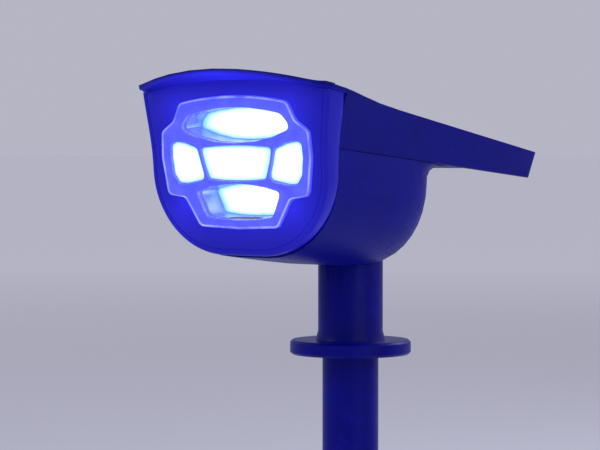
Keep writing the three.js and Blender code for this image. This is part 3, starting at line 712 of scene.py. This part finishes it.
def makeReflector():
    shape = reflectorShape
    bm = slab(lensOutline, shape["front"], shape["back"], shape["cornerRadius"], -shape["inset"])
    block = piece("reflectorBlock", bm, metallised())
    carve(block, [cutterPiece(skin(cupRings(name, roundedRing(points, windowRadius[name]))))
                  for name, points in windowOutlines.items()])
    rounded(block, shape["edge"], 2)
    baked(block)
    settle(block, "head", "reflector_block", 40, facePlace)


opticShape = dict(
    dome=0.5, steps=10, lift=0.15, gap=0.2,
    face=dict(top=11.7, bottom=11.7, centre=0.5, left=0.5, right=0.5),
)


def makeOptics():
    # domed, on the floors of the cups; the attribute runs from 0 at the rim to 1 in the middle
    shape = opticShape
    look = lampGlow()
    for name, points in windowOutlines.items():
        floor = cupShape["mouth"] + cupShape["depth"][name] - shape["lift"]
        front = shape["face"][name]
        outline = roundedRing(points, windowRadius[name])
        ring = shrunk(outline, cupShape["narrow"][name], -shape["gap"])
        rings = [atDepth(ring, floor), atDepth(ring, front)]
        for step in range(1, shape["steps"]):
            share = 1 - step / shape["steps"]
            rings.append(atDepth(shrunk(ring, share), front - shape["dome"] * (1 - share ** 2)))
        bm = skin(rings)
        glow = bm.verts.layers.float.new("glow")
        for vert in bm.verts:
            rise = (front * mm - vert.co.y) / (shape["dome"] * mm)
            vert[glow] = 1 - math.sqrt(max(0.0, 1 - max(0.0, rise)))
        bmesh.ops.transform(bm, matrix=facePlace, verts=bm.verts)
        piece("optic_" + name, bm, look, "head", crease=50)


bezelShape = dict(
    rear=-70.2, halfWidth=49.2, bottom=156.2, cornerX=38, cornerZ=36, turnSteps=24,
    top=226, straightEnd=192.2, straightSteps=8, flare=4, flareFrom=196, flareSpan=40,
    archHeight=229, archSteps=12, archDrop=0.25, edge=0.4,
    taper=[(0.7, 0), (0.25, 1.5), (0, 3.5)],            # inset, then distance from the rear
    rounding=1.3, roundingSteps=8,
    groove=[(2.3, 0.0), (2.45, 0.45), (2.75, 0.45), (2.9, 0.0)],        # inset, then depth
    wall=3, hollow=(-71, -60), hollowTop=214,
    aperture=dict(start=-10, end=30, radius=2.4, grow=-3.8),
    seat=dict(start=-10, end=2.6, radius=3.0, grow=0.35),
)


def bezelRing(inset, depthAt):
    # one turn: down the right side, round the bottom, up the left side and over the arch
    shape = bezelShape
    right = []
    for i in range(shape["straightSteps"]):
        z = shape["top"] - (shape["top"] - shape["straightEnd"]) * i / shape["straightSteps"]
        share = min(1, max(0, (z - shape["flareFrom"]) / shape["flareSpan"]))
        flare = shape["flare"] * share * share * (3 - 2 * share)
        right.append((shape["halfWidth"] - inset + flare, z))
    for i in range(shape["turnSteps"] + 1):
        angle = math.radians(90 * i / shape["turnSteps"])
        inward = (shape["cornerX"] - inset) * (1 - math.cos(angle))
        upward = (shape["cornerZ"] - inset) * (1 - math.sin(angle))
        right.append((shape["halfWidth"] - inset - inward, shape["bottom"] + inset + upward))
    widest = right[0][0]
    arch = [widest * (1 - i / shape["archSteps"]) for i in range(shape["archSteps"])]
    ring = [(x, depthAt(z), z) for x, z in right]
    left = [(-x, y, z) for x, y, z in reversed(ring)]
    over = []
    for x in [-x for x in arch] + [0] + arch[::-1]:
        y = depthAt(roofUnder(x, frontPlane(shape["archHeight"])))
        over.append((x, y, roofUnder(x, y) - shape["archDrop"] * inset))
    return ring + left + over


def makeBezel():
    shape = bezelShape
    rings = []
    for inset, forward in shape["taper"]:
        rings.append(bezelRing(inset, lambda z: shape["rear"] - forward))
    for i in range(shape["roundingSteps"] + 1):
        angle = math.radians(90 * i / shape["roundingSteps"])
        inset = shape["rounding"] * (1 - math.cos(angle))
        behind = shape["rounding"] * (1 - math.sin(angle))
        rings.append(bezelRing(inset, lambda z: frontPlane(z) + behind))
    for inset, sunk in shape["groove"]:
        rings.append(bezelRing(inset, lambda z: frontPlane(z) + sunk))
    bezel = piece("frontBezel", skin(rings), bezelPlastic())
    wallRing = bezelRing(shape["wall"], lambda z: shape["rear"])
    hollowRing = [(x, z) for x, y, z in wallRing if z < shape["hollowTop"]]
    carve(bezel, [
        cutterPiece(skin([atDepth(hollowRing, depth) for depth in shape["hollow"]])),
        cutterPiece(slab(lensOutline, **shape["aperture"]), facePlace),
        cutterPiece(slab(lensOutline, **shape["seat"]), facePlace),
    ])
    rounded(bezel, shape["edge"], 2, 50)
    baked(bezel)
    settle(bezel, "head", "front_bezel", 38)


makeLensCover()
makeLensRim()
makePanes()
makeReflector()
makeOptics()
makeBezel()
print("front module made")


# shells taken over from the frame; the top frame's edges are rounded once its lip is joined on
shells = dict(
    lampHousing=dict(node="lamp_housing", body="head", look=shell, slot="shell", edge=0.35),
    topFrame=dict(node="top_frame", body="head", look=frameFinish.material, slot="shell", edge=0),
    neckTube=dict(node="neck_tube", body="neck", look=polePlastic, slot="shell", edge=0.3),
    poleTube=dict(node="pole_tube", body="ground_stake", look=polePlastic, slot="shell", edge=0.3),
    groundSpike=dict(node="ground_spike", body="ground_stake", look=stakePlastic, slot="shell",
                     edge=0.5),
    powerButton=dict(node="power_button", body="button", look=plain["buttonRubber"], slot="rubber",
                     edge=0.6),
)


def fromCad(name, node, body, look, slot, edge):
    bm = bmesh.new()
    bm.from_mesh(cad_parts[node].data)
    bmesh.ops.remove_doubles(bm, verts=bm.verts, dist=0.01 * mm)
    bmesh.ops.dissolve_limit(bm, angle_limit=math.radians(0.4), verts=bm.verts, edges=bm.edges)
    obj = piece(name, bm, look, body, [node])
    if edge:
        rounded(obj, edge)
    return obj


lipShape = dict(
    radius=1.25, sides=12, points=61, halfWidth=54.0, edge=0.3,
    front=-84.5, bulge=10.5, setBack=0.9, drop=1.15,
    corner=3.5, cornerFrom=0.93, tipRise=0.9, tipFrom=0.8, tipSize=0.55,     # "From": of halfWidth
)


def addVisorLip(topFrame):
    # the rolled lip along the visor's front edge
    shape = lipShape
    rings = []
    for i in range(shape["points"]):
        share = -1 + 2 * i / (shape["points"] - 1)
        x = shape["halfWidth"] * share
        corner = max(0.0, (abs(share) - shape["cornerFrom"]) / (1 - shape["cornerFrom"])) ** 2
        tip = max(0, (abs(share) - shape["tipFrom"]) / (1 - shape["tipFrom"])) ** 2
        y = (shape["front"] - shape["bulge"] * (1 - share * share) + shape["setBack"]
             + shape["corner"] * corner)
        z = (headShape["roofHeight"] + headShape["roofSlope"] * y - shape["drop"]
             + headShape["browLift"] + shape["tipRise"] * tip + crownHeight(x))
        size = shape["radius"] * (1 if 0 < i < shape["points"] - 1 else shape["tipSize"])
        turns = [2 * math.pi * side / shape["sides"] for side in range(shape["sides"])]
        rings.append([(x, y + size * math.cos(turn), z + size * math.sin(turn)) for turn in turns])
    carve(topFrame, [cutterPiece(skin(rings))], "UNION")
    smooth(topFrame.data, 32)
    rounded(topFrame, shape["edge"])


shellPieces = {name: fromCad(name, **values) for name, values in shells.items()}
addVisorLip(shellPieces["topFrame"])
print("shells made")


# inner pieces keep their frame shapes and get a finish, by name or by how the name starts
zinc = zincSteel()
carriedLooks = dict(
    battery_cell=plain["batteryWrap"], battery_cradle=plain["blackNylon"],
    battery_wire_black=plain["blackWire"], battery_wire_red=plain["redWire"],
    charge_connector=plain["whiteNylon"], lamp_connector=plain["whiteNylon"],
    control_board=boards["greenBoard"], controller_chip=plain["blackNylon"],
    friction_washer_left=plain["blackNylon"], friction_washer_right=plain["blackNylon"],
    lamp_wire_black=plain["blackWire"], lamp_wire_red=plain["redWire"],
    led_board=boards["whiteBoard"], lens_gasket=plain["siliconeRubber"],
    panel_backsheet=plain["laminateSheet"], panel_gasket=plain["siliconeRubber"],
    panel_glass=clearSheet("panelCover", coverLook), pivot_bolt=zinc, pivot_nut=zinc,
    solar_wire_black=plain["blackWire"], solar_wire_red=plain["redWire"],
    swivel_screw=zinc, swivel_washer=zinc, tactile_switch=plain["blackNylon"],
)
familyLooks = dict(solar_cell=solarCell(), led_=plain["ledPackage"], case_screw=zinc)

for nodeName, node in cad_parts.items():
    family = [look for start, look in familyLooks.items() if nodeName.startswith(start)]
    look = carriedLooks.get(nodeName) or (family and family[0])
    if look:
        node.data.materials.clear()
        node.data.materials.append(look)
print("inner pieces finished")


studio = dict(
    floor=-152.5, halfSize=80000, fade=6000, nearPart=0.25,
    nearColour=(0.62, 0.62, 0.67), farColour=(0.97, 0.97, 0.98),
    airColour=(0.62, 0.62, 0.74), air=0.75,
)
lights = dict(          # metres and watts
    keyLight=dict(place=(-0.9, -1.4, 1.5), aim=(0, 0, 0.16), size=1.0, power=17,
                  colour=(0.90, 0.93, 1.0)),
    fillLight=dict(place=(1.7, -0.5, 0.7), aim=(0, 0, 0.16), size=1.4, power=6,
                   colour=(0.82, 0.86, 1.0)),
    rimLight=dict(place=(0.5, 1.6, 1.2), aim=(0, 0, 0.18), size=0.9, power=20,
                  colour=(0.86, 0.88, 1.0)),
)


def makeFloor():
    finish = Finish("studioFloorPaint", Roughness=0.85)
    x, y = finish.axis("X"), finish.axis("Y")
    away = (x * x + y * y) ** 0.5
    near, far = studio["nearColour"], studio["farColour"]
    paint = finish.ramp(away / studio["fade"], (0.0, near), (studio["nearPart"], near), (1.0, far))
    finish.feed("Base Color", paint)
    bm = bmesh.new()
    bmesh.ops.create_grid(bm, x_segments=1, y_segments=1, size=studio["halfSize"] * mm)
    bmesh.ops.translate(bm, vec=(0, 0, studio["floor"] * mm), verts=bm.verts)
    piece("studioFloor", bm, finish.material)


def areaLight(name, place, aim, size, power, colour):
    data = bpy.data.lights.new(name, "AREA")
    data.shape = "DISK"
    data.size = size
    data.energy = power
    data.color = colour
    light = bpy.data.objects.new(name, data)
    light.location = place
    light.rotation_euler = (Vector(aim) - Vector(place)).to_track_quat("-Z", "Y").to_euler()
    bpy.context.scene.collection.objects.link(light)


def fillAir():
    world = bpy.data.worlds.new("studioAir")
    world.use_nodes = True
    background = world.node_tree.nodes["Background"]
    background.inputs["Color"].default_value = (*studio["airColour"], 1)
    background.inputs["Strength"].default_value = studio["air"]
    bpy.context.scene.world = world


view = dict(azimuth=38.0, yaw=1.196, pitch=1.82,                    # degrees
            distance=1.1, height=0.2025, nearest=0.05,              # metres
            lens=145.2, sensor=36)


def placeCamera():
    camera = bpy.data.objects.new("camera", bpy.data.cameras.new("camera"))
    camera.data.lens = view["lens"]
    camera.data.sensor_width = view["sensor"]
    camera.data.clip_start = view["nearest"]
    turn = math.radians(view["azimuth"])
    camera.location = (view["distance"] * math.sin(turn), -view["distance"] * math.cos(turn),
                       view["height"])
    camera.rotation_euler = (math.radians(90 - view["pitch"]), 0, turn + math.radians(view["yaw"]))
    bpy.context.scene.collection.objects.link(camera)
    bpy.context.scene.camera = camera


makeFloor()
for name, values in lights.items():
    areaLight(name, **values)
fillAir()
placeCamera()
bpy.context.scene.view_settings.view_transform = "Standard"      # keeps the blues saturated
print("stage, light and camera made")
